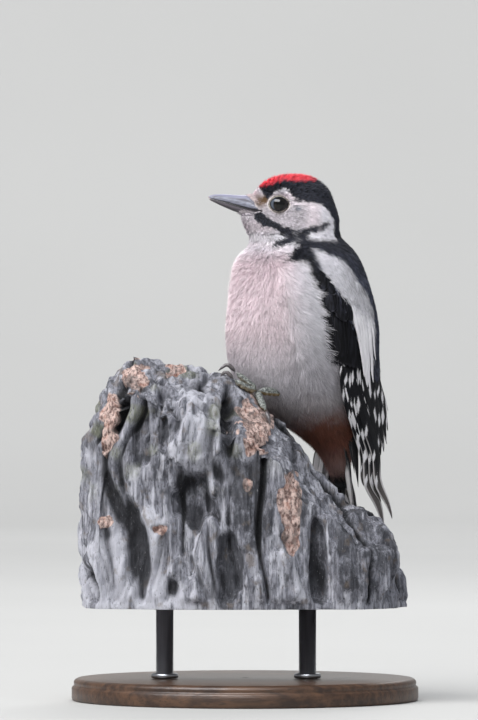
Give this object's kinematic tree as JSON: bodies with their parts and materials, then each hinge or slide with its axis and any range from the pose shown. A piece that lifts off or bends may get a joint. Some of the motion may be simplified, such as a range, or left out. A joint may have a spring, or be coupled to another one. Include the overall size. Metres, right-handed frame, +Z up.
{
  "type": "woodpecker",
  "caption": "A young great spotted woodpecker, life size, clinging upright to a short cut length of broken weathered trunk, held on a plain display stand with a round base and rods.",
  "frame": {"origin": "the middle of the underside of the stand's round base, on the floor", "axes": "+Z up, the bird upright along it; the bill points along -X; the breast faces -X and 30 degrees towards -Y; -Y is towards the viewer"},
  "size_m": [0.156, 0.156, 0.2367],
  "materials": {
    "head_feathers": "soft white, black and red feathers",
    "body_feathers": "soft loose feathers",
    "black_feathers": "satin black feathers",
    "white_feathers": "soft white feathers",
    "flight_feathers": "satin black with white spots",
    "bill": "horn, satin",
    "eye": "wet gloss",
    "leg_skin": "small scales",
    "claw": "horn, satin",
    "weathered_wood": "grey, cracked and lichened",
    "base_wood": "dark satin varnish",
    "rod_steel": "brushed"
  },
  "bodies": {
    "root": {"head": "head_feathers", "neck": "head_feathers", "trunk": "body_feathers", "mantle": "black_feathers", "eye_left": "eye", "eye_right": "eye", "bill_upper": "bill", "bill_lower": "bill", "scapulars_left": "white_feathers", "wing_left_coverts": "black_feathers", "wing_left_secondaries": "flight_feathers", "wing_left_primaries": "flight_feathers", "wing_left_long_primary_1": "flight_feathers", "wing_left_long_primary_2": "flight_feathers", "scapulars_right": "white_feathers", "wing_right_coverts": "black_feathers", "wing_right_secondaries": "flight_feathers", "wing_right_primaries": "flight_feathers", "wing_right_long_primary_1": "flight_feathers", "wing_right_long_primary_2": "flight_feathers", "tail_left_1": "flight_feathers", "tail_left_2": "flight_feathers", "tail_left_3": "flight_feathers", "tail_left_4": "white_feathers", "tail_left_5": "white_feathers", "tail_right_1": "flight_feathers", "tail_right_2": "flight_feathers", "tail_right_3": "flight_feathers", "tail_right_4": "white_feathers", "tail_right_5": "white_feathers", "leg_left": "leg_skin", "toe_left_inner": "leg_skin", "claw_left_inner": "claw", "toe_left_middle": "leg_skin", "claw_left_middle": "claw", "toe_left_outer": "leg_skin", "claw_left_outer": "claw", "toe_left_hind": "leg_skin", "claw_left_hind": "claw", "leg_right": "leg_skin", "toe_right_inner": "leg_skin", "claw_right_inner": "claw", "toe_right_middle": "leg_skin", "claw_right_middle": "claw", "toe_right_outer": "leg_skin", "claw_right_outer": "claw", "toe_right_hind": "leg_skin", "claw_right_hind": "claw", "perch": "weathered_wood", "stand_base": "base_wood", "stand_rod_1": "rod_steel", "stand_rod_2": "rod_steel"}
  },
  "joints": []
}
